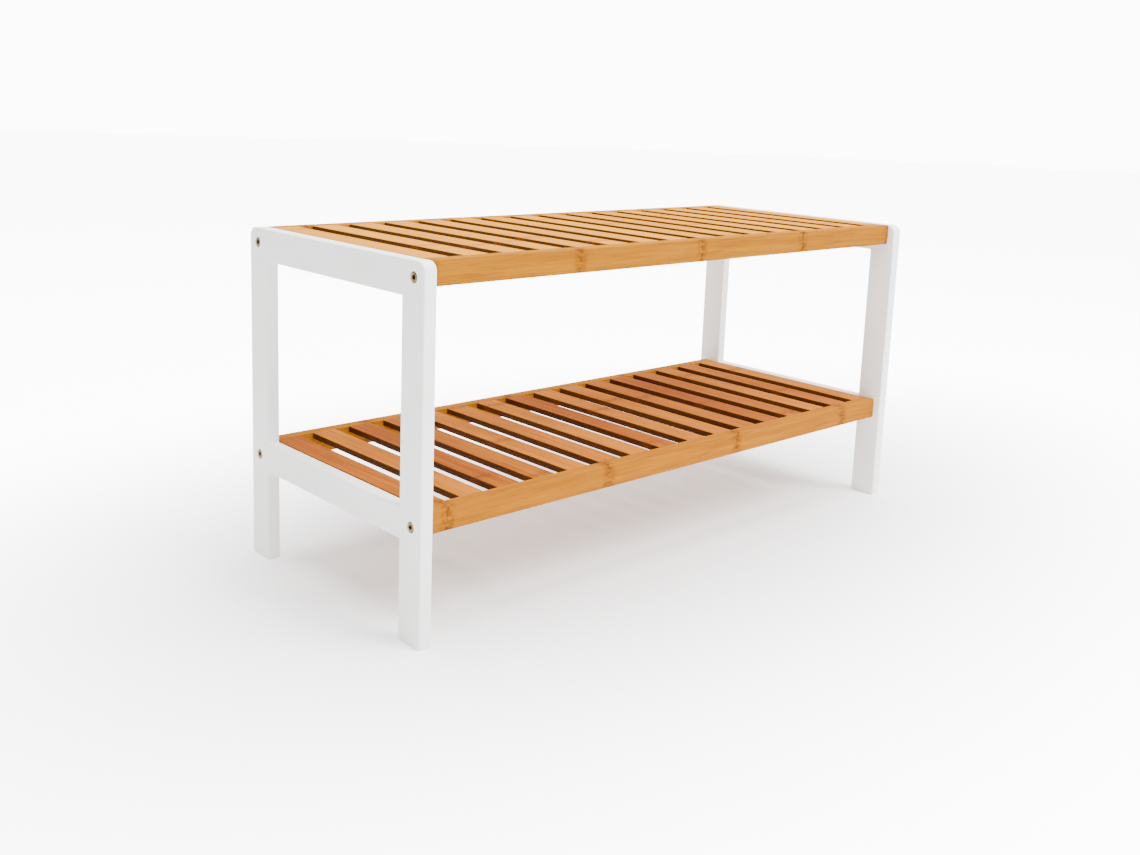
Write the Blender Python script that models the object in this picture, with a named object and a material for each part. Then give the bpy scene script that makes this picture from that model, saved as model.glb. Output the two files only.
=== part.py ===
"""Two-tier slatted entryway bench.

Two painted side frames carry a seat and a shelf. Each tier is a pair of long
bamboo rails with cross slats tenoned into them, and each rail is drawn against
the side frames by a socket-head bolt that threads into a barrel nut.
+X runs along the bench, -Y is the front, +Z is up and the floor is z = 0.
"""
import math

import bmesh
import bpy
from mathutils import Matrix, Vector

# Overall size
BENCH_LENGTH = 0.865
BENCH_DEPTH = 0.360
BENCH_HEIGHT = 0.415
SHELF_HEIGHT = 0.150

# Gap left between pieces that touch
FIT = 0.0003

# Painted side frames
FRAME_THICKNESS = 0.0165
LEG_WIDTH = 0.039
TOP_RAIL_HEIGHT = 0.039
LOWER_RAIL_HEIGHT = 0.036
CORNER_RADIUS = 0.011
CORNER_SEGMENTS = 6
FRAME_EASE = 0.0018
FRAME_TENON_SHOULDER = 0.0042
LEG_TENON_TO_BOLT = 0.0042
LOWER_TENON_TO_BOLT = 0.0022

# Long bamboo rails
RAIL_HEIGHT = 0.028
RAIL_THICKNESS = 0.016
RAIL_SETBACK = 0.0105
RAIL_EASE = 0.0012

# Cross slats
SLAT_COUNT = 16
SLAT_WIDTH = 0.033
SLAT_THICKNESS = 0.008
SLAT_EASE = 0.001
SLAT_TENON_SHOULDER = 0.0015
SLAT_TENON_LENGTH = 0.005
SLAT_END_GAP = 0.0008

# Bolts and barrel nuts
BOLT_DROP = 0.0175
SHANK_DIAMETER = 0.006
HEAD_DIAMETER = 0.0105
HEAD_HEIGHT = 0.0042
HEAD_CROWN = 0.0010
SOCKET_ACROSS_FLATS = 0.005
SOCKET_DEPTH = 0.0026
COUNTERBORE_DIAMETER = 0.0126
COUNTERBORE_DEPTH = 0.005
NUT_DIAMETER = 0.009
NUT_LENGTH = 0.012
NUT_INSET = 0.025
NUT_SLOT_WIDTH = 0.0014
NUT_SLOT_DEPTH = 0.0014
SHANK_PAST_NUT = 0.004
BORE_CLEARANCE = 0.0003
ROUND_SEGMENTS = 20
EASE_SEGMENTS = 2
SMOOTH_UNDER = math.radians(30)

# How far a cutter runs past the face that it opens
OVERCUT = 0.002

# Derived places
FRAME_FACE_X = BENCH_LENGTH / 2 - FRAME_THICKNESS
FRAME_CENTRE_X = BENCH_LENGTH / 2 - FRAME_THICKNESS / 2
LEG_CENTRE_Y = BENCH_DEPTH / 2 - LEG_WIDTH / 2
RAIL_CENTRE_Y = BENCH_DEPTH / 2 - RAIL_SETBACK - RAIL_THICKNESS / 2
RAIL_INNER_Y = RAIL_CENTRE_Y - RAIL_THICKNESS / 2
RAIL_LENGTH = 2 * (FRAME_FACE_X - FIT)
LEG_LENGTH = BENCH_HEIGHT - TOP_RAIL_HEIGHT - FIT
BOLT_BORE_RADIUS = SHANK_DIAMETER / 2 + BORE_CLEARANCE
LEG_TENON_LENGTH = TOP_RAIL_HEIGHT - BOLT_DROP - BOLT_BORE_RADIUS - LEG_TENON_TO_BOLT
BOLT_FROM_LEG_FACE = LEG_WIDTH - RAIL_SETBACK - RAIL_THICKNESS / 2
LOWER_TENON_LENGTH = BOLT_FROM_LEG_FACE - COUNTERBORE_DIAMETER / 2 - LOWER_TENON_TO_BOLT
SLAT_BODY_LENGTH = 2 * (RAIL_INNER_Y - FIT)
SLAT_REACH = RAIL_LENGTH / 2 + FIT - SLAT_END_GAP - SLAT_WIDTH / 2
SLAT_PITCH = 2 * SLAT_REACH / (SLAT_COUNT - 1)
SHANK_LENGTH = FRAME_THICKNESS - COUNTERBORE_DEPTH + FIT + NUT_INSET + FIT + SHANK_PAST_NUT
TIERS = {"seat": BENCH_HEIGHT, "shelf": SHELF_HEIGHT}
SIDES = {"left": -1, "right": 1}
ENDS = {"front": -1, "rear": 1}


def clear_scene():
    """Empty the file of every object."""
    for old in list(bpy.data.objects):
        bpy.data.objects.remove(old, do_unlink=True)


def make_material(name, colour, roughness, metallic=0.0):
    """A Principled surface with one colour."""
    material = bpy.data.materials.new(name)
    material.use_nodes = True
    shader = material.node_tree.nodes["Principled BSDF"]
    shader.inputs["Base Color"].default_value = (*colour, 1.0)
    shader.inputs["Roughness"].default_value = roughness
    shader.inputs["Metallic"].default_value = metallic
    material.diffuse_color = (*colour, 1.0)
    return material


def close_mesh(form, name):
    """Turn a finished bmesh into mesh data with its faces pointing out."""
    bmesh.ops.recalc_face_normals(form, faces=form.faces)
    mesh = bpy.data.meshes.new(name)
    form.to_mesh(mesh)
    form.free()
    return mesh


def add_block(form, size, centre):
    """Add one box to a bmesh."""
    place = Matrix.Translation(Vector(centre)) @ Matrix.Diagonal((*size, 1.0))
    bmesh.ops.create_cube(form, size=1.0, matrix=place)


def blocks(name, boxes):
    """Mesh of separate boxes, each given as a size and a centre."""
    form = bmesh.new()
    for size, centre in boxes:
        add_block(form, size, centre)
    return close_mesh(form, name)


def turned(name, profile, place=None, segments=ROUND_SEGMENTS):
    """Solid turned about Z from (radius, height) pairs listed from bottom to top."""
    form = bmesh.new()
    rings = []
    for radius, height in profile:
        ring = []
        for step in range(segments):
            angle = 2 * math.pi * step / segments
            ring.append(form.verts.new((radius * math.cos(angle), radius * math.sin(angle), height)))
        rings.append(ring)
    form.faces.new(rings[0])
    form.faces.new(rings[-1])
    for lower, upper in zip(rings, rings[1:]):
        for step in range(segments):
            after = (step + 1) % segments
            form.faces.new((lower[step], lower[after], upper[after], upper[step]))
    if place is not None:
        bmesh.ops.transform(form, matrix=place, verts=form.verts)
    return close_mesh(form, name)


def add_tenon(form, axis, end, shoulder, length):
    """Draw a tenon out of the end face of a bar, with an even shoulder all round it."""
    face = max(form.faces, key=lambda item: item.calc_center_median()[axis] * end)
    bmesh.ops.inset_individual(form, faces=[face], thickness=shoulder, use_even_offset=True)
    drawn = bmesh.ops.extrude_discrete_faces(form, faces=[face])["faces"][0]
    offset = Vector((0.0, 0.0, 0.0))
    offset[axis] = end * length
    bmesh.ops.translate(form, vec=offset, verts=drawn.verts)


def on_body_corner(point, half, axis):
    """True where a point lies on one of a bar's four long edges."""
    across = [side for side in range(3) if side != axis]
    return all(math.isclose(abs(point[side]), half[side], abs_tol=FIT / 2) for side in across)


def bar(name, size, axis, tenon_ends, shoulder, tenon_length, ease, eased_ends=()):
    """Bar centred on its origin, with tenons on some ends and eased edges."""
    form = bmesh.new()
    add_block(form, size, (0.0, 0.0, 0.0))
    for end in tenon_ends:
        add_tenon(form, axis, end, shoulder, tenon_length)
    half = [side / 2 for side in size]
    eased = []
    for edge in form.edges:
        first, second = (vert.co for vert in edge.verts)
        if not (on_body_corner(first, half, axis) and on_body_corner(second, half, axis)):
            continue
        runs_along = not math.isclose(first[axis], second[axis], abs_tol=FIT)
        on_eased_end = any(math.isclose(first[axis], end * half[axis], abs_tol=FIT) for end in eased_ends)
        if runs_along or on_eased_end:
            eased.append(edge)
    bmesh.ops.bevel(form, geom=eased, offset=ease, segments=EASE_SEGMENTS, profile=0.5, affect="EDGES")
    return close_mesh(form, name)


def carve(mesh, cutters):
    """Cut each cutter mesh out of a mesh and return the evaluated result."""
    body = bpy.data.objects.new("uncut_body", mesh)
    bpy.context.collection.objects.link(body)
    tools = []
    for cutter in cutters:
        tool = bpy.data.objects.new("cutter", cutter)
        tool.hide_render = True
        tool.display_type = "WIRE"
        bpy.context.collection.objects.link(tool)
        cut = body.modifiers.new("cut", "BOOLEAN")
        cut.operation = "DIFFERENCE"
        cut.solver = "EXACT"
        cut.object = tool
        tools.append(tool)
    depsgraph = bpy.context.evaluated_depsgraph_get()
    result = bpy.data.meshes.new_from_object(body.evaluated_get(depsgraph))
    result.name = mesh.name
    for temporary in [body] + tools:
        bpy.data.objects.remove(temporary, do_unlink=True)
    return result


def place_piece(name, mesh, material, location, parent, rotation=(0.0, 0.0, 0.0)):
    """Put one named piece in the scene."""
    if not mesh.materials:
        mesh.materials.append(material)
    piece = bpy.data.objects.new(name, mesh)
    bpy.context.collection.objects.link(piece)
    piece.location = location
    piece.rotation_euler = rotation
    piece.parent = parent
    return piece


def along_x(side, location):
    """Placement that lays a turned solid's +Z toward side * X."""
    return Matrix.Translation(Vector(location)) @ Matrix.Rotation(side * math.pi / 2, 4, "Y")


def frame_bolt_hole(side, y, z):
    """Cutter for a bolt's clearance hole and its counterbore, in a frame board centred on x = 0."""
    counterbore = COUNTERBORE_DIAMETER / 2
    outer = FRAME_THICKNESS / 2
    floor = outer - COUNTERBORE_DEPTH
    profile = [
        (BOLT_BORE_RADIUS, -outer - OVERCUT),
        (BOLT_BORE_RADIUS, floor),
        (counterbore, floor),
        (counterbore, outer + OVERCUT),
    ]
    return turned("bolt_hole", profile, along_x(side, (0.0, y, z)))


def frame_mortise(axis, across, end, face_at, length, centre):
    """Box that receives a frame tenon; it opens on the face at face_at along the axis."""
    size = [
        FRAME_THICKNESS - 2 * FRAME_TENON_SHOULDER + 2 * FIT,
        across - 2 * FRAME_TENON_SHOULDER + 2 * FIT,
        across - 2 * FRAME_TENON_SHOULDER + 2 * FIT,
    ]
    size[axis] = length + FIT + OVERCUT
    middle = list(centre)
    middle[axis] = face_at + end * (length + FIT - OVERCUT) / 2
    return tuple(size), tuple(middle)


def make_legs(side_name, side, paint, hub):
    """Front and rear leg: tenon up into the top rail, mortise for the lower rail, one bolt hole."""
    for end_name, end in ENDS.items():
        size = (FRAME_THICKNESS, LEG_WIDTH, LEG_LENGTH)
        mesh = bar("leg", size, 2, (1,), FRAME_TENON_SHOULDER, LEG_TENON_LENGTH, FRAME_EASE, (-1,))
        to_leg = -LEG_LENGTH / 2
        lower_z = SHELF_HEIGHT - LOWER_RAIL_HEIGHT / 2 + to_leg
        inner_face = -end * LEG_WIDTH / 2
        centre = (0.0, 0.0, lower_z)
        mortise = frame_mortise(1, LOWER_RAIL_HEIGHT, end, inner_face, LOWER_TENON_LENGTH, centre)
        bolt_y = end * (RAIL_CENTRE_Y - LEG_CENTRE_Y)
        bolt_z = SHELF_HEIGHT - BOLT_DROP + to_leg
        mesh = carve(mesh, [blocks("mortise", [mortise]), frame_bolt_hole(side, bolt_y, bolt_z)])
        location = (side * FRAME_CENTRE_X, end * LEG_CENTRE_Y, LEG_LENGTH / 2)
        place_piece(f"{side_name}_{end_name}_leg", mesh, paint, location, hub)


def top_rail_outline():
    """Outline of the top rail in Y and Z, with both upper corners rounded."""
    half = BENCH_DEPTH / 2
    points = [(-half, 0.0), (half, 0.0)]
    for corner, start in ((half - CORNER_RADIUS, 0.0), (CORNER_RADIUS - half, math.pi / 2)):
        for step in range(CORNER_SEGMENTS + 1):
            angle = start + step * math.pi / 2 / CORNER_SEGMENTS
            y = corner + CORNER_RADIUS * math.cos(angle)
            z = TOP_RAIL_HEIGHT - CORNER_RADIUS + CORNER_RADIUS * math.sin(angle)
            points.append((y, z))
    return points


def make_top_rail(side_name, side, paint, hub):
    """Full-depth top rail: rounded upper corners, two leg mortises below, two bolt holes."""
    form = bmesh.new()
    outline = top_rail_outline()
    near = [form.verts.new((-FRAME_THICKNESS / 2, y, z)) for y, z in outline]
    far = [form.verts.new((FRAME_THICKNESS / 2, y, z)) for y, z in outline]
    form.faces.new(near)
    form.faces.new(far)
    for step, after in enumerate(list(range(1, len(outline))) + [0]):
        form.faces.new((near[step], near[after], far[after], far[step]))
    bmesh.ops.recalc_face_normals(form, faces=form.faces)
    rims = [edge for edge in form.edges if math.isclose(edge.verts[0].co.x, edge.verts[1].co.x, abs_tol=FIT)]
    bmesh.ops.bevel(form, geom=rims, offset=FRAME_EASE, segments=EASE_SEGMENTS, profile=0.5, affect="EDGES")
    mesh = close_mesh(form, "top_rail")
    mortises = []
    for end in ENDS.values():
        centre = (0.0, end * LEG_CENTRE_Y, 0.0)
        mortises.append(frame_mortise(2, LEG_WIDTH, 1, 0.0, LEG_TENON_LENGTH, centre))
    bolt_z = TOP_RAIL_HEIGHT - BOLT_DROP
    holes = [frame_bolt_hole(side, end * RAIL_CENTRE_Y, bolt_z) for end in ENDS.values()]
    mesh = carve(mesh, [blocks("mortises", mortises)] + holes)
    location = (side * FRAME_CENTRE_X, 0.0, BENCH_HEIGHT - TOP_RAIL_HEIGHT)
    place_piece(f"{side_name}_top_rail", mesh, paint, location, hub)


def make_lower_rail(side_name, side, paint, hub):
    """Lower rail between the legs, level with the shelf, with a tenon on each end."""
    length = BENCH_DEPTH - 2 * LEG_WIDTH - 2 * FIT
    size = (FRAME_THICKNESS, length, LOWER_RAIL_HEIGHT)
    mesh = bar("lower_rail", size, 1, (-1, 1), FRAME_TENON_SHOULDER, LOWER_TENON_LENGTH, FRAME_EASE)
    location = (side * FRAME_CENTRE_X, 0.0, SHELF_HEIGHT - LOWER_RAIL_HEIGHT / 2)
    place_piece(f"{side_name}_lower_rail", mesh, paint, location, hub)


def slat_x(index):
    """Centre of a slat along the bench, counted from the left."""
    return -SLAT_REACH + index * SLAT_PITCH


def slat_mortises(end):
    """Boxes cut in a rail's inner face for the slat tenons, in the rail's own space."""
    width = SLAT_WIDTH - 2 * SLAT_TENON_SHOULDER + 2 * FIT
    height = SLAT_THICKNESS - 2 * SLAT_TENON_SHOULDER + 2 * FIT
    depth = SLAT_TENON_LENGTH + FIT + OVERCUT
    y = -end * (RAIL_THICKNESS / 2 - (SLAT_TENON_LENGTH + FIT - OVERCUT) / 2)
    z = (RAIL_HEIGHT - SLAT_THICKNESS) / 2
    return [((width, depth, height), (slat_x(index), y, z)) for index in range(SLAT_COUNT)]


def rail_fastener_cuts():
    """Bolt bores in both ends of a rail and the barrel-nut holes that open below."""
    nut_hole = NUT_DIAMETER / 2 + BORE_CLEARANCE
    bolt_z = RAIL_HEIGHT / 2 - BOLT_DROP
    nut_top = bolt_z + NUT_LENGTH / 2 + BORE_CLEARANCE
    bore_depth = NUT_INSET + SHANK_PAST_NUT + 2 * FIT
    cuts = []
    for side in SIDES.values():
        bore_profile = [(BOLT_BORE_RADIUS, -bore_depth), (BOLT_BORE_RADIUS, OVERCUT)]
        cuts.append(turned("bore", bore_profile, along_x(side, (side * RAIL_LENGTH / 2, 0.0, bolt_z))))
        nut_profile = [(nut_hole, -RAIL_HEIGHT / 2 - OVERCUT), (nut_hole, nut_top)]
        nut_x = side * (RAIL_LENGTH / 2 - NUT_INSET)
        cuts.append(turned("nut_hole", nut_profile, Matrix.Translation((nut_x, 0.0, 0.0))))
    return cuts


def make_long_rails(tier, top, bamboo, hub):
    """Front and rear rail of one tier, running between the side frames."""
    for end_name, end in ENDS.items():
        size = (RAIL_LENGTH, RAIL_THICKNESS, RAIL_HEIGHT)
        mesh = bar("long_rail", size, 0, (), 0.0, 0.0, RAIL_EASE)
        mesh = carve(mesh, [blocks("mortises", slat_mortises(end))] + rail_fastener_cuts())
        location = (0.0, end * RAIL_CENTRE_Y, top - RAIL_HEIGHT / 2)
        place_piece(f"{tier}_{end_name}_rail", mesh, bamboo, location, hub)


def make_slats(tier, top, bamboo, hub):
    """One tier's cross slats, level with the rails, with a stub tenon on each end."""
    size = (SLAT_WIDTH, SLAT_BODY_LENGTH, SLAT_THICKNESS)
    mesh = bar(f"{tier}_slat", size, 1, (-1, 1), SLAT_TENON_SHOULDER, SLAT_TENON_LENGTH, SLAT_EASE)
    for index in range(SLAT_COUNT):
        location = (slat_x(index), 0.0, top - SLAT_THICKNESS / 2)
        place_piece(f"{tier}_slat_{index + 1:02d}", mesh, bamboo, location, hub)


def bolt_mesh():
    """Socket-head bolt: origin under the head, head toward +Z, shank toward -Z."""
    shank = SHANK_DIAMETER / 2
    head = HEAD_DIAMETER / 2
    profile = [
        (shank - HEAD_CROWN / 2, -SHANK_LENGTH),
        (shank, -SHANK_LENGTH + HEAD_CROWN / 2),
        (shank, 0.0),
        (head, 0.0),
        (head, HEAD_HEIGHT - HEAD_CROWN),
        (head - HEAD_CROWN, HEAD_HEIGHT),
    ]
    corner = SOCKET_ACROSS_FLATS / math.sqrt(3)
    socket_profile = [(corner, HEAD_HEIGHT - SOCKET_DEPTH), (corner, HEAD_HEIGHT + OVERCUT)]
    mesh = carve(turned("bolt", profile), [turned("socket", socket_profile, segments=6)])
    mesh.shade_smooth()
    mesh.set_sharp_from_angle(angle=SMOOTH_UNDER)
    return mesh


def barrel_nut_mesh():
    """Barrel nut on the Z axis: a cross bore along X and a driver slot in its lower end."""
    radius = NUT_DIAMETER / 2
    half = NUT_LENGTH / 2
    cross_profile = [(BOLT_BORE_RADIUS, -NUT_DIAMETER), (BOLT_BORE_RADIUS, NUT_DIAMETER)]
    cross = turned("cross_bore", cross_profile, along_x(1, (0.0, 0.0, 0.0)))
    slot_size = (2 * NUT_DIAMETER, NUT_SLOT_WIDTH, NUT_SLOT_DEPTH + OVERCUT)
    slot = blocks("slot", [(slot_size, (0.0, 0.0, -half + (NUT_SLOT_DEPTH - OVERCUT) / 2))])
    mesh = carve(turned("barrel_nut", [(radius, -half), (radius, half)]), [cross, slot])
    mesh.shade_smooth()
    mesh.set_sharp_from_angle(angle=SMOOTH_UNDER)
    return mesh


def make_fasteners(brass, steel, hub):
    """A bolt and its barrel nut at each end of each long rail."""
    bolt = bolt_mesh()
    nut = barrel_nut_mesh()
    head_seat_x = BENCH_LENGTH / 2 - COUNTERBORE_DEPTH + FIT
    nut_x = RAIL_LENGTH / 2 - NUT_INSET
    for tier, top in TIERS.items():
        for side_name, side in SIDES.items():
            for end_name, end in ENDS.items():
                spot = f"{side_name}_{tier}_{end_name}"
                y = end * RAIL_CENTRE_Y
                z = top - BOLT_DROP
                turn = (0.0, side * math.pi / 2, 0.0)
                place_piece(f"{spot}_bolt", bolt, brass, (side * head_seat_x, y, z), hub, turn)
                place_piece(f"{spot}_barrel_nut", nut, steel, (side * nut_x, y, z), hub)


def build_bench():
    """Build every piece under one empty that stands on the floor."""
    clear_scene()
    paint = make_material("white_paint", (0.80, 0.80, 0.78), 0.45)
    seat_bamboo = make_material("seat_bamboo", (0.72, 0.46, 0.26), 0.50)
    shelf_bamboo = make_material("shelf_bamboo", (0.60, 0.30, 0.13), 0.50)
    rail_bamboo = make_material("rail_bamboo", (0.62, 0.36, 0.13), 0.50)
    brass = make_material("antique_brass", (0.30, 0.22, 0.12), 0.40, 1.0)
    steel = make_material("zinc_steel", (0.60, 0.61, 0.62), 0.35, 1.0)
    hub = bpy.data.objects.new("bench", None)
    bpy.context.collection.objects.link(hub)
    for side_name, side in SIDES.items():
        make_legs(side_name, side, paint, hub)
        make_top_rail(side_name, side, paint, hub)
        make_lower_rail(side_name, side, paint, hub)
    for tier, top in TIERS.items():
        make_long_rails(tier, top, rail_bamboo, hub)
    make_slats("seat", BENCH_HEIGHT, seat_bamboo, hub)
    make_slats("shelf", SHELF_HEIGHT, shelf_bamboo, hub)
    make_fasteners(brass, steel, hub)


build_bench()
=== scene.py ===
import math

import bmesh
import bpy
from mathutils import Matrix, Vector


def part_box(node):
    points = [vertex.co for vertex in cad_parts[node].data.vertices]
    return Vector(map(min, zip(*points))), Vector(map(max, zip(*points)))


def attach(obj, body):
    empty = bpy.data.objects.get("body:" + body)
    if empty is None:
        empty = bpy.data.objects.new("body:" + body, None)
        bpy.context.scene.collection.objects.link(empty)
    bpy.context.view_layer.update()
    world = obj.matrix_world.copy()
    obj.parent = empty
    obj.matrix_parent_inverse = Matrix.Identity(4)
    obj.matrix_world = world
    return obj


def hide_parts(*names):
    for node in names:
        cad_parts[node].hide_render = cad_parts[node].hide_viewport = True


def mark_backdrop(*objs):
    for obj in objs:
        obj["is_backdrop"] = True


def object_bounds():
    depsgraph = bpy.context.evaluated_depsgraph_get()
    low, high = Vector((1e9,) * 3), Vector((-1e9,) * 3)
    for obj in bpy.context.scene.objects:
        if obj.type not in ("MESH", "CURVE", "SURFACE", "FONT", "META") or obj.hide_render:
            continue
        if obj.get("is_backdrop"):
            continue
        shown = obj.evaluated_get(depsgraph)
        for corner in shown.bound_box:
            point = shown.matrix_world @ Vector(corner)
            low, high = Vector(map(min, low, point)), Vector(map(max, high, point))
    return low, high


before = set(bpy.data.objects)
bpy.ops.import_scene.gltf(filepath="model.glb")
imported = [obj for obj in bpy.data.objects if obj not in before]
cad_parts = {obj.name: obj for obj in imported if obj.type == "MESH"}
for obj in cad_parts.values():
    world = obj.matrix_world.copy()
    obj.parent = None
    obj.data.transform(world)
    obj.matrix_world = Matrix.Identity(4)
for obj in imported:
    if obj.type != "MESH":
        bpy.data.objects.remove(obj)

bl_info = {
    "name": "Slatted Entryway Bench",
    "version": (1, 0, 0),
    "blender": (4, 5, 0),
    "location": "View3D > Sidebar > Bench",
    "description": "Painted side frames, bamboo rails and slats, and bolts of a two-tier entryway bench",
    "category": "Object",
}

MM = 0.001
SLATS_PER_TIER = 16
TIERS = ("seat", "shelf")
SIDES = {"left": -1, "right": 1}
ENDS = {"front": -1, "rear": 1}

# How far a cutter runs past the face that it opens
FRAME_OVERCUT = 5 * MM
OVERCUT = MM
SEAM_OVERCUT = 2 * MM

# Facets and shading
CORNER_STEPS = 10
CROWN_STEPS = 6
EASE_SEGMENTS = 3
BOLT_FACETS = 48
NUT_FACETS = 40
BORE_FACETS = 32
HEXAGON = 6
WOOD_SHARP_OVER = math.radians(40)
METAL_SHARP_OVER = math.radians(35)

# Growth rings of the bamboo: their spacing along a bar, and where they fall on the front rails
RING_PITCH = {"seat": 0.208, "shelf": 0.241}
RING_PHASE = {"seat": -0.0010, "shelf": 0.0925}
SLAT_RING_PITCH = 0.31
RAIL_RING_STRENGTH = 1.0
SLAT_RING_STRENGTH = 0.7

# How each bar differs from the next: its tone between pale and deep, and its cut of the grain
RAIL_TONE = (0.05, 0.35)
RAIL_GRAIN_STRIDE = (0.37, 0.11, 0.05)
SLAT_TONE = {"seat": (0.0, 0.35), "shelf": (0.0, 0.75)}
SLAT_GRAIN_SPREAD = (3.0, 2.0, 2.0)
SLAT_SEED_STEP = {"seat": 4, "shelf": 5}

# Camera at the front left, a little above the seat
CAMERA_LENS = 37.4
CAMERA_SENSOR = 36.0
CAMERA_PLACE = (-1.1210, -1.1341, 0.5770)
CAMERA_YAW = math.radians(42.97)
CAMERA_PITCH = math.radians(10.11)
CAMERA_ROLL = math.radians(2.14)
CAMERA_SHIFT_Y = -0.10

# Softboxes: place, the point that each is aimed at, and width and height
KEY_PLACE, KEY_TARGET, KEY_SIZE = (0.9, -2.2, 2.6), (0.0, 0.0, 0.2), (1.8, 1.8)
TOP_PLACE, TOP_TARGET, TOP_SIZE = (0.0, 0.2, 2.8), (0.0, 0.0, 0.0), (3.0, 2.4)
FLOOR_FACETS = 96


# ---------------------------------------------------------------- nodes


def linear(code):
    """Linear colour of an sRGB hex code."""
    channels = [int(code[start:start + 2], 16) / 255 for start in (1, 3, 5)]
    return tuple(c / 12.92 if c <= 0.04045 else ((c + 0.055) / 1.055) ** 2.4 for c in channels) + (1.0,)


def add(tree, kind, values=None, out=None, **settings):
    """Add a node with its settings and links, and return the output asked for, or else the node."""
    node = tree.nodes.new(kind)
    for name, value in settings.items():
        setattr(node, name, value)
    for key, value in (values or {}).items():
        if isinstance(value, bpy.types.NodeSocket):
            tree.links.new(value, node.inputs[key])
        else:
            node.inputs[key].default_value = value
    return node if out is None else node.outputs[out]


def start_finish(name, sockets):
    """Empty node material with a Principled shader on its output, and the shader's own sockets set."""
    material = bpy.data.materials.new(name)
    material.use_nodes = True
    tree = material.node_tree
    tree.nodes.clear()
    shader = add(tree, "ShaderNodeBsdfPrincipled")
    for label, value in sockets.items():
        shader.inputs[label].default_value = value
    add(tree, "ShaderNodeOutputMaterial", {"Surface": shader.outputs[0]})
    return material, tree, shader


def end_finish(tree, shader, colour, rough, relief, strength, depth):
    """Join a finish's colour, roughness and relief to its shader."""
    bump = {"Height": relief, "Strength": strength, "Distance": depth}
    tree.links.new(colour, shader.inputs["Base Color"])
    tree.links.new(rough, shader.inputs["Roughness"])
    tree.links.new(add(tree, "ShaderNodeBump", bump, 0), shader.inputs["Normal"])


def material_named(name, build):
    """The material of that name, built the first time that it is asked for."""
    return bpy.data.materials.get(name) or build()


# ---------------------------------------------------------------- finishes


def satin_white_paint(colours):
    """Sprayed satin enamel on sanded wood: even white, faint orange peel, softly raised grain."""
    material, tree, shader = start_finish("satin_white_enamel", {})
    place = add(tree, "ShaderNodeTexCoord", None, "Object")
    # Film build drifts over about 110 mm, which the eye reads as hand-sprayed paint.
    cloud = add(tree, "ShaderNodeTexNoise", {"Vector": place, "Scale": 9.0, "Detail": 2.0}, 0)
    thin = {0: cloud, 1: 0.35, 2: 0.7}
    thin = add(tree, "ShaderNodeMapRange", thin, 0, interpolation_type="SMOOTHSTEP")
    tints = {"Factor": thin, 6: colours.paint, 7: colours.thin_paint}
    colour = add(tree, "ShaderNodeMix", tints, 2, data_type="RGBA")
    # Orange peel is dimpled every 2 mm; the sanded grain under it is 2.4 mm wide and 45 mm long.
    peel = add(tree, "ShaderNodeTexNoise", {"Vector": place, "Scale": 520.0, "Detail": 2.0}, 0)
    upright = add(tree, "ShaderNodeMapping", {"Vector": place, "Scale": (420.0, 420.0, 22.0)}, 0)
    grain = add(tree, "ShaderNodeTexNoise", {"Vector": upright, "Scale": 1.0, "Detail": 3.0}, 0)
    relief = add(tree, "ShaderNodeMath", {0: grain, 1: 0.5, 2: peel}, 0, operation="MULTIPLY_ADD")
    rough = add(tree, "ShaderNodeMath", {0: cloud, 1: 0.12, 2: 0.34}, 0, operation="MULTIPLY_ADD")
    end_finish(tree, shader, colour, rough, relief, 0.10, 0.2 * MM)
    return material


def streaks(tree, grain, along, across, detail, roughness=0.5):
    """Streaks of this length and width in metres, drawn out along the grain."""
    scale = (1 / along, 1 / across, 1 / across)
    drawn_out = add(tree, "ShaderNodeMapping", {"Vector": grain, "Scale": scale}, 0)
    values = {"Vector": drawn_out, "Scale": 1.0, "Detail": detail, "Roughness": roughness}
    return add(tree, "ShaderNodeTexNoise", values, 0)


def growth_rings(tree, grain, pitch, phase):
    """Masks of the culm's growth rings: a thin dark line, and a blotchy band around it."""
    along = add(tree, "ShaderNodeSeparateXYZ", {0: grain}, 0)
    # Each 7 mm strip was cut from another culm, so a ring steps by up to 6 mm from strip to strip.
    strip = streaks(tree, grain, 400 * MM, 7 * MM, 2.0)
    step = add(tree, "ShaderNodeMath", {0: strip, 1: 12 * MM, 2: -6 * MM}, 0, operation="MULTIPLY_ADD")
    place = add(tree, "ShaderNodeMath", {0: along, 1: step}, 0, operation="ADD")
    past = add(tree, "ShaderNodeMath", {0: place, 1: phase}, 0, operation="SUBTRACT")
    rings = add(tree, "ShaderNodeMath", {0: past, 1: pitch}, 0, operation="DIVIDE")
    nearest = add(tree, "ShaderNodeMath", {0: rings, 1: 0.5}, 0, operation="PINGPONG")
    distance = add(tree, "ShaderNodeMath", {0: nearest, 1: pitch}, 0, operation="MULTIPLY")
    blotch = streaks(tree, grain, 7 * MM, 3.5 * MM, 3.0)
    masks = []
    # Where the line and the band fade out beside a ring, and how much of each the blotches keep.
    for inner, outer, low, high in ((0.6 * MM, 3 * MM, 0.35, 0.6), (4 * MM, 13 * MM, 0.25, 0.75)):
        fade = {0: distance, 1: inner, 2: outer, 3: 1.0, 4: 0.0}
        fade = add(tree, "ShaderNodeMapRange", fade, 0, interpolation_type="SMOOTHSTEP")
        patchy = {0: blotch, 1: low, 2: high}
        patchy = add(tree, "ShaderNodeMapRange", patchy, 0, interpolation_type="SMOOTHSTEP")
        masks.append(add(tree, "ShaderNodeMath", {0: fade, 1: patchy}, 0, operation="MULTIPLY"))
    return masks


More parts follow.
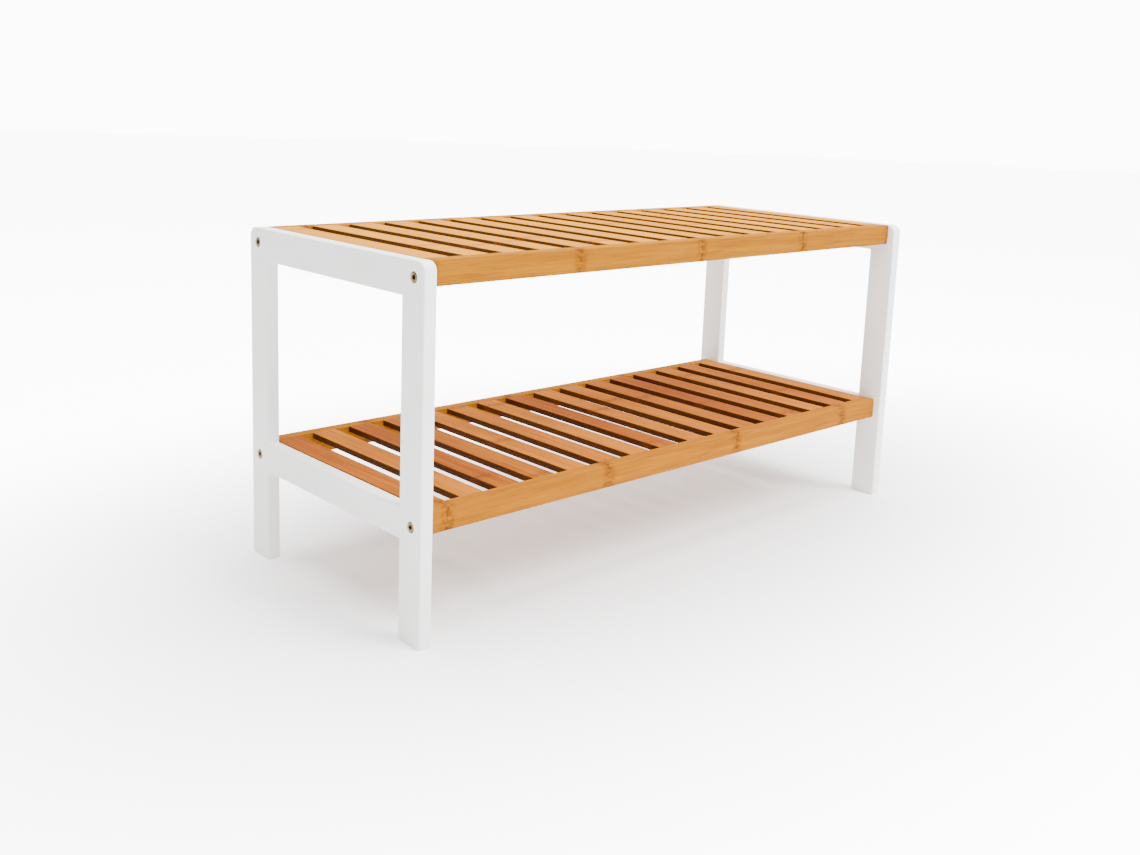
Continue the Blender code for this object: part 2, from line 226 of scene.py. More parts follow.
def lacquered_bamboo(name, pale, deep, vessel, colours, pitch, phase, ring_strength):
    """Edge-glued bamboo under thin matt lacquer: long fibre streaks, growth rings, honey to brown."""
    # The fibres break up the light under so thin a coat, so that only a weak sheen is left.
    material, tree, shader = start_finish(name, {"Specular IOR Level": 0.05})
    grain = add(tree, "ShaderNodeAttribute", None, "Vector", attribute_name="grain")
    tone = add(tree, "ShaderNodeAttribute", None, "Fac", attribute_name="tone")
    side = add(tree, "ShaderNodeAttribute", None, "Fac", attribute_name="side")
    figure = streaks(tree, grain, 160 * MM, 6 * MM, 3.0)
    # Fibre bundles are under 0.5 mm wide; they are drawn as coarse as shows at arm's length.
    fibre = streaks(tree, grain, 50 * MM, 1.1 * MM, 4.0, 0.6)
    dash = streaks(tree, grain, 14 * MM, 0.6 * MM, 2.0)
    line, band = growth_rings(tree, grain, pitch, phase)
    # Specks are scattered 20 by 11 mm apart, and only in some patches about 32 mm across.
    spread = add(tree, "ShaderNodeMapping", {"Vector": grain, "Scale": (50.0, 1 / 0.011, 1 / 0.011)}, 0)
    from_speck = add(tree, "ShaderNodeTexVoronoi", {"Vector": spread, "Scale": 1.0}, "Distance")
    patch = add(tree, "ShaderNodeTexNoise", {"Vector": grain, "Scale": 31.0, "Detail": 1.0}, 0)
    # Each mask rises from 0 to its strength between two readings of its pattern.
    levels = (
        (figure, 0.3, 0.7, 0.0, 0.42),
        (fibre, 0.46, 0.74, 0.0, 0.55),
        (dash, 0.60, 0.78, 0.0, 0.35),
        (from_speck, 0.035, 0.06, 1.0, 0.0),
        (patch, 0.62, 0.66, 0.0, 1.0),
    )
    masks = []
    for pattern, low, high, first, last in levels:
        values = {0: pattern, 1: low, 2: high, 3: first, 4: last}
        masks.append(add(tree, "ShaderNodeMapRange", values, 0, interpolation_type="SMOOTHSTEP"))
    figured, streaked, dashed, speck, patched = masks
    # Slow figure and each bar's own tone move between the pale and the deep heartwood colour.
    depth = add(tree, "ShaderNodeMath", {0: figured, 1: tone}, 0, operation="ADD")
    colour = add(tree, "ShaderNodeMix", {"Factor": depth, 6: pale, 7: deep}, 2, data_type="RGBA")
    # Painted shade: the faces turned toward X, the slats' sides that face each other across the gaps, are
    # darkened toward a dark brown.
    side_shading = add(tree, "ShaderNodeMath", {0: side, 1: 0.92}, 0, operation="MULTIPLY")
    banded = add(tree, "ShaderNodeMath", {0: band, 1: 0.80 * ring_strength}, 0, operation="MULTIPLY")
    lined = add(tree, "ShaderNodeMath", {0: line, 1: 0.75 * ring_strength}, 0, operation="MULTIPLY")
    specked = add(tree, "ShaderNodeMath", {0: speck, 1: patched}, 0, operation="MULTIPLY")
    # Short dark dashes are cut vessels; they make the surface read as bamboo and not as timber.
    layers = (
        (streaked, vessel),
        (dashed, vessel),
        (side_shading, colours.painted_side_shade),
        (banded, vessel),
        (lined, colours.ring_line),
        (specked, colours.speck),
    )
    for mask, tint in layers:
        colour = add(tree, "ShaderNodeMix", {"Factor": mask, 6: colour, 7: tint}, 2, data_type="RGBA")
    relief = add(tree, "ShaderNodeMath", {0: line, 1: 0.8, 2: fibre}, 0, operation="MULTIPLY_ADD")
    rough = add(tree, "ShaderNodeMath", {0: fibre, 1: 0.16, 2: 0.50}, 0, operation="MULTIPLY_ADD")
    end_finish(tree, shader, colour, rough, relief, 0.14, 0.3 * MM)
    return material


def antiqued_brass(colours):
    """Brass-plated steel, blackened and buffed back: dark in the hollows, warm where it is rubbed."""
    material, tree, shader = start_finish("antiqued_brass_plate", {"Metallic": 1.0})
    place = add(tree, "ShaderNodeTexCoord", None, "Object")
    # Patina is mottled about every millimetre.
    mottle = {"Vector": place, "Scale": 900.0, "Detail": 4.0, "Roughness": 0.6}
    patina = add(tree, "ShaderNodeTexNoise", mottle, 0)
    rubbed = {0: patina, 1: 0.35, 2: 0.65}
    rubbed = add(tree, "ShaderNodeMapRange", rubbed, 0, interpolation_type="SMOOTHSTEP")
    tints = {"Factor": rubbed, 6: colours.brass_dark, 7: colours.brass_rubbed}
    colour = add(tree, "ShaderNodeMix", tints, 2, data_type="RGBA")
    rough = add(tree, "ShaderNodeMath", {0: patina, 1: 0.25, 2: 0.24}, 0, operation="MULTIPLY_ADD")
    end_finish(tree, shader, colour, rough, patina, 0.15, 0.1 * MM)
    return material


def bright_zinc(colours):
    """Bright zinc plate on turned steel: cool grey with a faint cloudy passivation."""
    material, tree, shader = start_finish("bright_zinc_plate", {"Metallic": 1.0})
    place = add(tree, "ShaderNodeTexCoord", None, "Object")
    # The passivation clouds over about 1.4 mm.
    cloud = add(tree, "ShaderNodeTexNoise", {"Vector": place, "Scale": 700.0, "Detail": 3.0}, 0)
    tints = {"Factor": cloud, 6: colours.zinc_dark, 7: colours.zinc_bright}
    colour = add(tree, "ShaderNodeMix", tints, 2, data_type="RGBA")
    rough = add(tree, "ShaderNodeMath", {0: cloud, 1: 0.2, 2: 0.22}, 0, operation="MULTIPLY_ADD")
    tree.links.new(colour, shader.inputs["Base Color"])
    tree.links.new(rough, shader.inputs["Roughness"])
    return material


def matte_floor(stage):
    """Matte pale studio floor with almost no sheen, so that it only shows soft shadow."""
    sockets = {"Roughness": 0.9, "Specular IOR Level": 0.1, "Emission Color": linear("#FFFFFF")}
    material, tree, shader = start_finish("matte_studio_floor", sockets)
    place = add(tree, "ShaderNodeTexCoord", None, "Object")
    cloud = add(tree, "ShaderNodeTexNoise", {"Vector": place, "Scale": 1.5, "Detail": 2.0}, 0)
    tints = {"Factor": cloud, 6: stage.floor_shade, 7: stage.floor_colour}
    colour = add(tree, "ShaderNodeMix", tints, 2, data_type="RGBA")
    # The sweep is lit from behind, so it burns out to white past an oval around the bench.
    oval = {0: place, 1: (0.70, 1.15, 0.0)}
    oval = add(tree, "ShaderNodeVectorMath", oval, 0, operation="MULTIPLY")
    reach = add(tree, "ShaderNodeVectorMath", {0: oval}, "Value", operation="LENGTH")
    burn = {0: reach, 1: 0.22, 2: 1.05, 4: stage.floor_glow}
    burn = add(tree, "ShaderNodeMapRange", burn, 0, interpolation_type="SMOOTHSTEP")
    seen = add(tree, "ShaderNodeLightPath", None, "Is Camera Ray")
    glow = add(tree, "ShaderNodeMath", {0: burn, 1: seen}, 0, operation="MULTIPLY")
    tree.links.new(glow, shader.inputs["Emission Strength"])
    tree.links.new(colour, shader.inputs["Base Color"])
    return material


# ---------------------------------------------------------------- mesh work


def finish_form(form, name):
    """Mesh data from a bmesh, with faces pointing out."""
    bmesh.ops.recalc_face_normals(form, faces=form.faces)
    mesh = bpy.data.meshes.new(name)
    form.to_mesh(mesh)
    form.free()
    return mesh


def link(name, mesh):
    """New object in the scene at the origin."""
    piece = bpy.data.objects.new(name, mesh)
    bpy.context.scene.collection.objects.link(piece)
    return piece


def mesh_of(piece):
    """Take an object's mesh and throw the object away."""
    mesh = piece.data
    bpy.data.objects.remove(piece, do_unlink=True)
    return mesh


def span_block(low, high):
    """Mesh of the box between two corners."""
    form = bmesh.new()
    size = [upper - lower for lower, upper in zip(low, high)]
    centre = [(upper + lower) / 2 for lower, upper in zip(low, high)]
    place = Matrix.Translation(Vector(centre)) @ Matrix.Diagonal((*size, 1.0))
    bmesh.ops.create_cube(form, size=1.0, matrix=place)
    return finish_form(form, "span")


def turned(profile, place, segments):
    """Solid turned about Z from (radius, height) pairs, then placed."""
    form = bmesh.new()
    angles = [2 * math.pi * step / segments for step in range(segments)]
    rings = []
    for radius, height in profile:
        rings.append([form.verts.new((radius * math.cos(a), radius * math.sin(a), height)) for a in angles])
    form.faces.new(rings[0])
    form.faces.new(rings[-1])
    for lower, upper in zip(rings, rings[1:]):
        for step in range(segments):
            after = (step + 1) % segments
            form.faces.new((lower[step], lower[after], upper[after], upper[step]))
    bmesh.ops.transform(form, matrix=place, verts=form.verts)
    return finish_form(form, "turned")


def toward_x(side, location=(0.0, 0.0, 0.0)):
    """Placement that lays +Z toward side * X."""
    return Matrix.Translation(Vector(location)) @ Matrix.Rotation(side * math.pi / 2, 4, "Y")


def baked(piece):
    """Replace an object's modifiers with the mesh that they make."""
    depsgraph = bpy.context.evaluated_depsgraph_get()
    mesh = bpy.data.meshes.new_from_object(piece.evaluated_get(depsgraph))
    mesh.name = piece.name
    piece.modifiers.clear()
    piece.data = mesh
    return piece


def cut(piece, cutters):
    """Cut each cutter mesh out of an object for good."""
    tools = [link("cutter", cutter) for cutter in cutters]
    for tool in tools:
        modifier = piece.modifiers.new("cut", "BOOLEAN")
        modifier.operation = "DIFFERENCE"
        modifier.solver = "EXACT"
        modifier.object = tool
    baked(piece)
    for tool in tools:
        bpy.data.objects.remove(tool, do_unlink=True)


def ease_edges(piece, width):
    """Round every hard edge."""
    bevel = piece.modifiers.new("ease", "BEVEL")
    bevel.width = width
    bevel.segments = EASE_SEGMENTS
    bevel.limit_method = "ANGLE"
    bevel.angle_limit = WOOD_SHARP_OVER
    baked(piece)


def smooth(piece, sharp_over):
    """Smooth shading that keeps sharp corners and leans toward the flat faces."""
    piece.data.shade_smooth()
    piece.data.set_sharp_from_angle(angle=sharp_over)
    weights = piece.modifiers.new("weights", "WEIGHTED_NORMAL")
    weights.keep_sharp = True
    baked(piece)


def store_side_shade(mesh, axis):
    """Store how far each face turns toward one axis, for the painted shade on the sides of a bar."""
    layer = mesh.attributes.new("side", "FLOAT", "FACE")
    for face, item in zip(mesh.polygons, layer.data):
        item.value = max(0.0, 2 * abs(face.normal[axis]) - 1)


def store_grain(mesh, axis):
    """Store each point's place in its own bar, with the grain's direction first."""
    order = [axis] + [side for side in range(3) if side != axis]
    layer = mesh.attributes.new("grain", "FLOAT_VECTOR", "POINT")
    for point, item in zip(mesh.vertices, layer.data):
        item.vector = [point.co[side] for side in order]


def ride_and_replace(piece, nodes):
    """Fix a piece to the bench, in place of these solids."""
    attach(piece, "root")
    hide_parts(*nodes)


# ---------------------------------------------------------------- layouts in geometry nodes


def new_layout(name, inputs):
    """Geometry node tree with a geometry in and out and the named inputs."""
    tree = bpy.data.node_groups.new(name, "GeometryNodeTree")
    tree.interface.new_socket("Geometry", in_out="INPUT", socket_type="NodeSocketGeometry")
    tree.interface.new_socket("Geometry", in_out="OUTPUT", socket_type="NodeSocketGeometry")
    for label, kind in inputs.items():
        tree.interface.new_socket(label, in_out="INPUT", socket_type=f"NodeSocket{kind}")
    return tree, add(tree, "NodeGroupInput").outputs


def end_layout(tree, solid, given):
    """Close a layout's tree with its mesh in the given material."""
    dressed = {"Geometry": solid, "Material": given["Material"]}
    dressed = add(tree, "GeometryNodeSetMaterial", dressed, 0)
    add(tree, "NodeGroupOutput", {0: dressed})
    return tree


def laid_bars_layout():
    """Lay copies of one bar in a row; each has its own tone and its own cut of the grain."""
    inputs = {
        "Count": "Int",
        "First": "Vector",
        "Step": "Vector",
        "Grain Stride": "Vector",
        "Grain Spread": "Vector",
        "Tone Low": "Float",
        "Tone High": "Float",
        "Seed": "Int",
        "Material": "Material",
    }
    tree, given = new_layout("laid_bars", inputs)
    line = {"Count": given["Count"], "Start Location": given["First"], "Offset": given["Step"]}
    row = add(tree, "GeometryNodeMeshLine", line, 0, mode="OFFSET")
    bars = {"Points": row, "Instance": given["Geometry"]}
    bars = add(tree, "GeometryNodeInstanceOnPoints", bars, 0)
    index = add(tree, "GeometryNodeInputIndex", None, 0)
    tone = {2: given["Tone Low"], 3: given["Tone High"], "ID": index, "Seed": given["Seed"]}
    tone = add(tree, "FunctionNodeRandomValue", tone, 1, data_type="FLOAT")
    spread = {0: (0.0, 0.0, 0.0), 1: given["Grain Spread"], "ID": index, "Seed": given["Seed"]}
    spread = add(tree, "FunctionNodeRandomValue", spread, 0, data_type="FLOAT_VECTOR")
    stride = {0: given["Grain Stride"], 1: index}
    stride = add(tree, "ShaderNodeVectorMath", stride, 0, operation="MULTIPLY")
    shift = add(tree, "ShaderNodeVectorMath", {0: stride, 1: spread}, 0, operation="ADD")
    store = "GeometryNodeStoreNamedAttribute"
    stored = {"Geometry": bars, "Name": "tone", "Value": tone}
    bars = add(tree, store, stored, 0, domain="INSTANCE", data_type="FLOAT")
    stored = {"Geometry": bars, "Name": "cut", "Value": shift}
    bars = add(tree, store, stored, 0, domain="INSTANCE", data_type="FLOAT_VECTOR")
    solid = add(tree, "GeometryNodeRealizeInstances", {"Geometry": bars}, 0)
    read = "GeometryNodeInputNamedAttribute"
    own = add(tree, read, {"Name": "grain"}, 0, data_type="FLOAT_VECTOR")
    moved = add(tree, read, {"Name": "cut"}, 0, data_type="FLOAT_VECTOR")
    grain = add(tree, "ShaderNodeVectorMath", {0: own, 1: moved}, 0, operation="ADD")
    stored = {"Geometry": solid, "Name": "grain", "Value": grain}
    solid = add(tree, store, stored, 0, domain="POINT", data_type="FLOAT_VECTOR")
    return end_layout(tree, solid, given)


def corner_set_layout():
    """Put one fastener at four spots of the left frame, each turned by chance, and repeat them right."""
    inputs = {
        "Centre": "Vector",
        "Spacing": "Float",
        "Rise": "Float",
        "Spin": "Float",
        "Seed": "Int",
        "Material": "Material",
    }
    tree, given = new_layout("corner_set", inputs)
    grid = {"Size X": given["Rise"], "Size Y": given["Spacing"], "Vertices X": 2, "Vertices Y": 2}
    grid = add(tree, "GeometryNodeMeshGrid", grid, 0)
    upright = {"Geometry": grid, "Translation": given["Centre"], "Rotation": (0.0, math.pi / 2, 0.0)}
    spots = add(tree, "GeometryNodeTransform", upright, 0)
    spin = {2: 0.0, 3: given["Spin"], "Seed": given["Seed"]}
    spin = add(tree, "FunctionNodeRandomValue", spin, 1, data_type="FLOAT")
    turn = add(tree, "ShaderNodeCombineXYZ", {0: spin}, 0)
    left = {"Points": spots, "Instance": given["Geometry"], "Rotation": turn}
    left = add(tree, "GeometryNodeInstanceOnPoints", left, 0)
    right = {"Geometry": left, "Rotation": (0.0, 0.0, math.pi)}
    right = add(tree, "GeometryNodeTransform", right, 0)
    both = add(tree, "GeometryNodeJoinGeometry", {0: right})
    tree.links.new(left, both.inputs[0])
    solid = add(tree, "GeometryNodeRealizeInstances", {"Geometry": both.outputs[0]}, 0)
    return end_layout(tree, solid, given)


def layout_named(name, build):
    """The layout of that name, built the first time that it is asked for."""
    return bpy.data.node_groups.get(name) or build()


def grown(name, mesh, layout, values):
    """Object made by a layout from one mesh, then baked to a plain mesh."""
    piece = link(name, mesh)
    modifier = piece.modifiers.new("layout", "NODES")
    modifier.node_group = layout
    sockets = {item.name: item.identifier for item in layout.interface.items_tree if item.in_out == "INPUT"}
    for label, value in values.items():
        modifier[sockets[label]] = value
    piece.update_tag()
    return baked(piece)


# ---------------------------------------------------------------- side frames


def frame_outline(low, high, radius):
    """Outline of a side frame in Y and Z, with its two upper corners rounded."""
    points = [(low.y, low.z), (high.y, low.z)]
    for corner_y, start in ((high.y - radius, 0.0), (low.y + radius, math.pi / 2)):
        for step in range(CORNER_STEPS + 1):
            angle = start + step * math.pi / 2 / CORNER_STEPS
            points.append((corner_y + radius * math.cos(angle), high.z - radius + radius * math.sin(angle)))
    return points


def frame_slab(low, high, radius):
    """Solid board with the side frame's outline."""
    form = bmesh.new()
    outline = frame_outline(low, high, radius)
    near, far = ([form.verts.new((x, y, z)) for y, z in outline] for x in (low.x, high.x))
    form.faces.new(near)
    form.faces.new(far)
    for step in range(len(outline)):
        after = (step + 1) % len(outline)
        form.faces.new((near[step], near[after], far[after], far[step]))
    return finish_form(form, "slab")


def seam_ring(low, high, at, width, depth):
    """Thin ring around an upright board: the hairline where another meets it under the paint."""
    reach = Vector((SEAM_OVERCUT, SEAM_OVERCUT, 0.0))
    inset = Vector((depth, depth, 0.0))
    outer_low, outer_high = low - reach, high + reach
    inner_low, inner_high = low + inset, high - inset
    outer_low.z, outer_high.z = at - width / 2, at + width / 2
    inner_low.z, inner_high.z = at - width, at + width
    ring = link("ring", span_block(outer_low, outer_high))
    cut(ring, [span_block(inner_low, inner_high)])
    return mesh_of(ring)


def counterbore_cutters(side_name, side, outer_x, bench):
    """Chamfered counterbores for one side frame's four bolt heads."""
    floor, lip = -bench.bore_depth, bench.bore_lip
    cutters = []
    for tier in TIERS:
        for end in ENDS:
            head_low, head_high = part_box(f"{side_name}_{tier}_{end}_bolt")
            centre = (head_low + head_high) / 2
            radius = (head_high.z - head_low.z) / 2 + bench.bore_margin
            profile = [(radius, floor), (radius, -lip), (radius + lip, 0.0), (radius + lip, FRAME_OVERCUT)]
            cutters.append(turned(profile, toward_x(side, (outer_x, centre.y, centre.z)), BOLT_FACETS))
    return cutters


def build_side_frame(side_name, side, bench, colours):
    """One painted side frame: four boards glued, routed round the edges and painted as one."""
    legs = {end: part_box(f"{side_name}_{end}_leg") for end in ENDS}
    top_low, top_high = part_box(f"{side_name}_top_rail")
    lower_low, lower_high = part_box(f"{side_name}_lower_rail")
    low = Vector((top_low.x, top_low.y, legs["front"][0].z))
    piece = link(f"{side_name}_side_frame", frame_slab(low, top_high, bench.corner_radius))
    near, far = low.x - FRAME_OVERCUT, top_high.x + FRAME_OVERCUT
    front, rear = legs["front"][1].y, legs["rear"][0].y
    upper = span_block((near, front, lower_high.z), (far, rear, top_low.z))
    lower = span_block((near, front, low.z - FRAME_OVERCUT), (far, rear, lower_low.z))
    cut(piece, [upper, lower])
    ease_edges(piece, bench.edge_ease)
    outer_x = side * max(abs(top_low.x), abs(top_high.x))
    cutters = counterbore_cutters(side_name, side, outer_x, bench)
    for leg_low, leg_high in legs.values():
        cutters.append(seam_ring(leg_low, leg_high, top_low.z, bench.seam_width, bench.seam_depth))
    cut(piece, cutters)
    smooth(piece, WOOD_SHARP_OVER)
    piece.data.materials.clear()
    piece.data.materials.append(material_named("satin_white_enamel", lambda: satin_white_paint(colours)))
    boards = [f"{side_name}_{part}" for part in ("front_leg", "rear_leg", "top_rail", "lower_rail")]
    ride_and_replace(piece, boards)


# ---------------------------------------------------------------- bamboo


def eased_bar(low, high, ease):
    """Bar between two corners, centred on the origin, with its edges eased."""
    half = (Vector(high) - Vector(low)) / 2
    bar = link("bar", span_block(-half, half))
    ease_edges(bar, ease)
    smooth(bar, WOOD_SHARP_OVER)
    return bar


def build_long_rails(tier, bench, colours):
    """Front and rear rail of one tier, with the barrel-nut holes open below."""
    front_low, front_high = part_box(f"{tier}_front_rail")
    rear_low, rear_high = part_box(f"{tier}_rear_rail")
    nut_low, nut_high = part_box(f"left_{tier}_front_barrel_nut")
    centre = (front_low + front_high) / 2
    bar = eased_bar(front_low, front_high, bench.rail_ease)
    radius = (nut_high.x - nut_low.x) / 2 + bench.nut_margin
    nut_x = (nut_low.x + nut_high.x) / 2 - centre.x
    mouth = (front_low.z - front_high.z) / 2 - OVERCUT
    profile = [(radius, mouth), (radius, nut_high.z - centre.z + bench.nut_margin)]
    holes = [turned(profile, Matrix.Translation((end * nut_x, 0.0, 0.0)), BORE_FACETS) for end in (-1, 1)]
    cut(bar, holes)
    smooth(bar, WOOD_SHARP_OVER)
    mesh = mesh_of(bar)
    store_grain(mesh, 0)
    name = f"{tier}_rail_bamboo"
    pale, deep = getattr(colours, f"{tier}_rail_pale"), getattr(colours, f"{tier}_rail_deep")
    rings = (RING_PITCH[tier], RING_PHASE[tier], RAIL_RING_STRENGTH)
    values = {
        "Count": len(ENDS),
        "First": tuple(centre),
        "Step": tuple((rear_low + rear_high) / 2 - centre),
        "Grain Stride": RAIL_GRAIN_STRIDE,
        "Grain Spread": (0.0, 0.0, 0.0),
        "Tone Low": RAIL_TONE[0],
        "Tone High": RAIL_TONE[1],
        "Seed": bench.seed,
        "Material": lacquered_bamboo(name, pale, deep, colours.rail_vessel, colours, *rings),
    }
    piece = grown(f"{tier}_long_rails", mesh, layout_named("laid_bars", laid_bars_layout), values)
    ride_and_replace(piece, (f"{tier}_front_rail", f"{tier}_rear_rail"))


def build_slats(tier, bench, colours):
    """One tier's sixteen slats, each cut from its own strip."""
    names = [f"{tier}_slat_{index + 1:02d}" for index in range(SLATS_PER_TIER)]
    low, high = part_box(names[0])
    next_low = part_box(names[1])[0]
    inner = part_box(f"{tier}_front_rail")[1].y + bench.slat_gap
    low.y, high.y = inner, -inner
    mesh = mesh_of(eased_bar(low, high, bench.slat_ease))
    store_grain(mesh, 1)
    # Faces turned toward X carry the painted shade of the slats' sides.
    store_side_shade(mesh, 0)
    name = f"{tier}_slat_bamboo"
    tints = [getattr(colours, f"{tier}_slat_{part}") for part in ("pale", "deep", "vessel")]
    tone_low, tone_high = SLAT_TONE[tier]
    values = {
        "Count": SLATS_PER_TIER,
        "First": tuple((low + high) / 2),
        "Step": (next_low.x - low.x, 0.0, 0.0),
        "Grain Stride": (0.0, 0.0, 0.0),
        "Grain Spread": SLAT_GRAIN_SPREAD,
        "Tone Low": tone_low,
        "Tone High": tone_high,
        "Seed": bench.seed + SLAT_SEED_STEP[tier],
        "Material": lacquered_bamboo(name, *tints, colours, SLAT_RING_PITCH, 0.0, SLAT_RING_STRENGTH),
    }
    piece = grown(f"{tier}_slats", mesh, layout_named("laid_bars", laid_bars_layout), values)
    ride_and_replace(piece, names)


# ---------------------------------------------------------------- fasteners


def bolt_form(low, high, bench):
    """Socket-head bolt laid along X with its head toward -X, centred on its own box."""
    half = (high.x - low.x) / 2
    head = (high.z - low.z) / 2
    shank = bench.shank_radius
    crown = bench.head_crown
    seat = half - bench.head_height
    profile = [(shank - crown / 2, -half), (shank, -half + crown / 2), (shank, seat), (head, seat)]
    for step in range(CROWN_STEPS + 1):
        angle = step * math.pi / 2 / CROWN_STEPS
        profile.append((head - crown + crown * math.cos(angle), half - crown + crown * math.sin(angle)))
    bolt = link("bolt", turned(profile, toward_x(-1), BOLT_FACETS))
    socket = [(bench.socket_radius, half - bench.socket_depth), (bench.socket_radius, half + OVERCUT)]
    cut(bolt, [turned(socket, toward_x(-1), HEXAGON)])
    smooth(bolt, METAL_SHARP_OVER)
    return mesh_of(bolt)


def nut_form(low, high, bench):
    """Barrel nut standing on Z with its cross bore and driver slot."""
    half = (high.z - low.z) / 2
    radius = (high.x - low.x) / 2
    crown = bench.head_crown / 2
    rim = radius - crown
    profile = [(rim, -half), (radius, -half + crown), (radius, half - crown), (rim, half)]
    nut = link("nut", turned(profile, Matrix.Identity(4), NUT_FACETS))
    bore = bench.shank_radius + bench.nut_margin
    slot = bench.slot_width / 2
    cross = turned([(bore, -2 * radius), (bore, 2 * radius)], toward_x(1), BORE_FACETS)
    groove = span_block((-2 * radius, -slot, -half - OVERCUT), (2 * radius, slot, -half + 2 * slot))
    cut(nut, [cross, groove])
    smooth(nut, METAL_SHARP_OVER)
    return mesh_of(nut)


def build_fasteners(kind, form, material, spin, bench):
    """Eight fasteners of one kind, one at each end of each long rail."""
    low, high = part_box(f"left_seat_front_{kind}")
    shelf_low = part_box(f"left_shelf_front_{kind}")[0]
    centre = (low + high) / 2
    rise = low.z - shelf_low.z
    values = {
        "Centre": (centre.x, 0.0, centre.z - rise / 2),
        "Spacing": 2 * abs(centre.y),
        "Rise": rise,
        "Spin": spin,
        "Seed": bench.seed,
        "Material": material,
    }
    layout = layout_named("corner_set", corner_set_layout)
    piece = grown(f"{kind}s", form(low, high, bench), layout, values)
    nodes = [f"{side}_{tier}_{end}_{kind}" for side in SIDES for tier in TIERS for end in ENDS]
    ride_and_replace(piece, nodes)


# ---------------------------------------------------------------- stage


def build_softbox(name, place, target, size, power):
    """Large soft area light aimed at a point."""
    data = bpy.data.lights.new(name, "AREA")
    data.shape = "RECTANGLE"
    data.size, data.size_y = size
    data.energy = power
    light = bpy.data.objects.new(name, data)
    light.location = place
    light.rotation_euler = (Vector(target) - Vector(place)).to_track_quat("-Z", "Y").to_euler()
    bpy.context.scene.collection.objects.link(light)
    return light


def build_camera():
    """Camera at the front left, rolled and shifted a little to keep the uprights upright."""
    data = bpy.data.cameras.new("camera")
    data.lens = CAMERA_LENS
    data.sensor_width = CAMERA_SENSOR
    data.shift_y = CAMERA_SHIFT_Y
    camera = bpy.data.objects.new("camera", data)
    level = math.cos(CAMERA_PITCH)
    ahead = (level * math.sin(CAMERA_YAW), level * math.cos(CAMERA_YAW), -math.sin(CAMERA_PITCH))
    aim = Vector(ahead).to_track_quat("-Z", "Y").to_matrix().to_4x4()
    camera.matrix_world = Matrix.Translation(CAMERA_PLACE) @ aim @ Matrix.Rotation(CAMERA_ROLL, 4, "Z")
    bpy.context.scene.collection.objects.link(camera)
    bpy.context.scene.camera = camera
    return camera


def build_surround(stage):
    """White studio all round, which shows brighter than it lights."""
    world = bpy.data.worlds.new("white_studio")
    world.use_nodes = True
    tree = world.node_tree
    tree.nodes.clear()
    seen = add(tree, "ShaderNodeLightPath", None, "Is Camera Ray")
    strength = {"Value": seen, "To Min": stage.surround, "To Max": stage.backdrop}
    strength = add(tree, "ShaderNodeMapRange", strength, 0)
    sky = add(tree, "ShaderNodeBackground", {"Color": linear("#FFFFFF"), "Strength": strength}, 0)
    add(tree, "ShaderNodeOutputWorld", {"Surface": sky})
    bpy.context.scene.world = world


def build_stage(stage):
    """Pale floor, white surround, soft studio light and the camera."""
    form = bmesh.new()
    bmesh.ops.create_circle(form, cap_ends=True, segments=FLOOR_FACETS, radius=stage.floor_radius)
    floor = link("studio_floor", finish_form(form, "studio_floor"))
    floor.location.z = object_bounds()[0][2]
    floor.data.materials.append(matte_floor(stage))
    build_surround(stage)
    key = build_softbox("key_softbox", KEY_PLACE, KEY_TARGET, KEY_SIZE, stage.key_power)
    top = build_softbox("top_softbox", TOP_PLACE, TOP_TARGET, TOP_SIZE, stage.top_power)
    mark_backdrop(floor, key, top, build_camera())


# ---------------------------------------------------------------- add-on


def length(label, note, default):
    """Length property in metres."""
    settings = {"min": 0.0, "precision": 5, "unit": "LENGTH", "subtype": "DISTANCE"}
    return bpy.props.FloatProperty(name=label, description=note, default=default, **settings)


def swatch(label, note, code):
    """Colour property that starts at an sRGB hex code."""
    settings = {"size": 4, "min": 0.0, "max": 1.0, "subtype": "COLOR"}
    return bpy.props.FloatVectorProperty(name=label, description=note, default=linear(code), **settings)


def strength(label, note, default):
    """Strength property without a unit."""
    return bpy.props.FloatProperty(name=label, description=note, default=default, min=0.0)


def power(label, note, default):
    """Power property in watts."""
    return bpy.props.FloatProperty(name=label, description=note, default=default, min=0.0, unit="POWER")


class BenchSettings(bpy.types.PropertyGroup):
    """Sizes of what is finer than the solid model."""

    corner_radius: length("Corner Radius", "Rounding of the side frames' upper corners", 0.011)
    edge_ease: length("Frame Edge", "Rounding routed along the side frames' edges", 0.0020)
    seam_width: length("Seam Width", "Width of the hairline between two painted boards", 0.0003)
    seam_depth: length("Seam Depth", "Depth of the hairline between two painted boards", 0.0004)
    bore_margin: length("Counterbore Margin", "Space between a bolt head and its counterbore", 0.00105)
    bore_depth: length("Counterbore Depth", "Depth of the counterbores", 0.005)
    bore_lip: length("Counterbore Lip", "Chamfer at a counterbore's mouth", 0.0004)
    rail_ease: length("Rail Edge", "Rounding of the long rails' edges", 0.0012)
    slat_ease: length("Slat Edge", "Rounding of the slats' edges", 0.0010)
    slat_gap: length("Slat Shoulder Gap", "Gap between a slat's shoulder and its rail", 0.0003)
    shank_radius: length("Shank Radius", "Radius of a bolt's shank", 0.003)
    head_height: length("Head Height", "Height of a bolt's head", 0.0042)
    head_crown: length("Head Crown", "Rounding of a bolt head's rim", 0.0012)
    socket_radius: length("Socket Radius", "Centre to corner of the hexagon socket", 0.00289)
    socket_depth: length("Socket Depth", "Depth of the hexagon socket", 0.0026)
    nut_margin: length("Nut Margin", "Space around a barrel nut and in its bore", 0.0003)
    slot_width: length("Slot Width", "Width of a barrel nut's driver slot", 0.0014)
    seed: bpy.props.IntProperty(name="Seed", description="Chance of tones and grain", default=7, min=0)


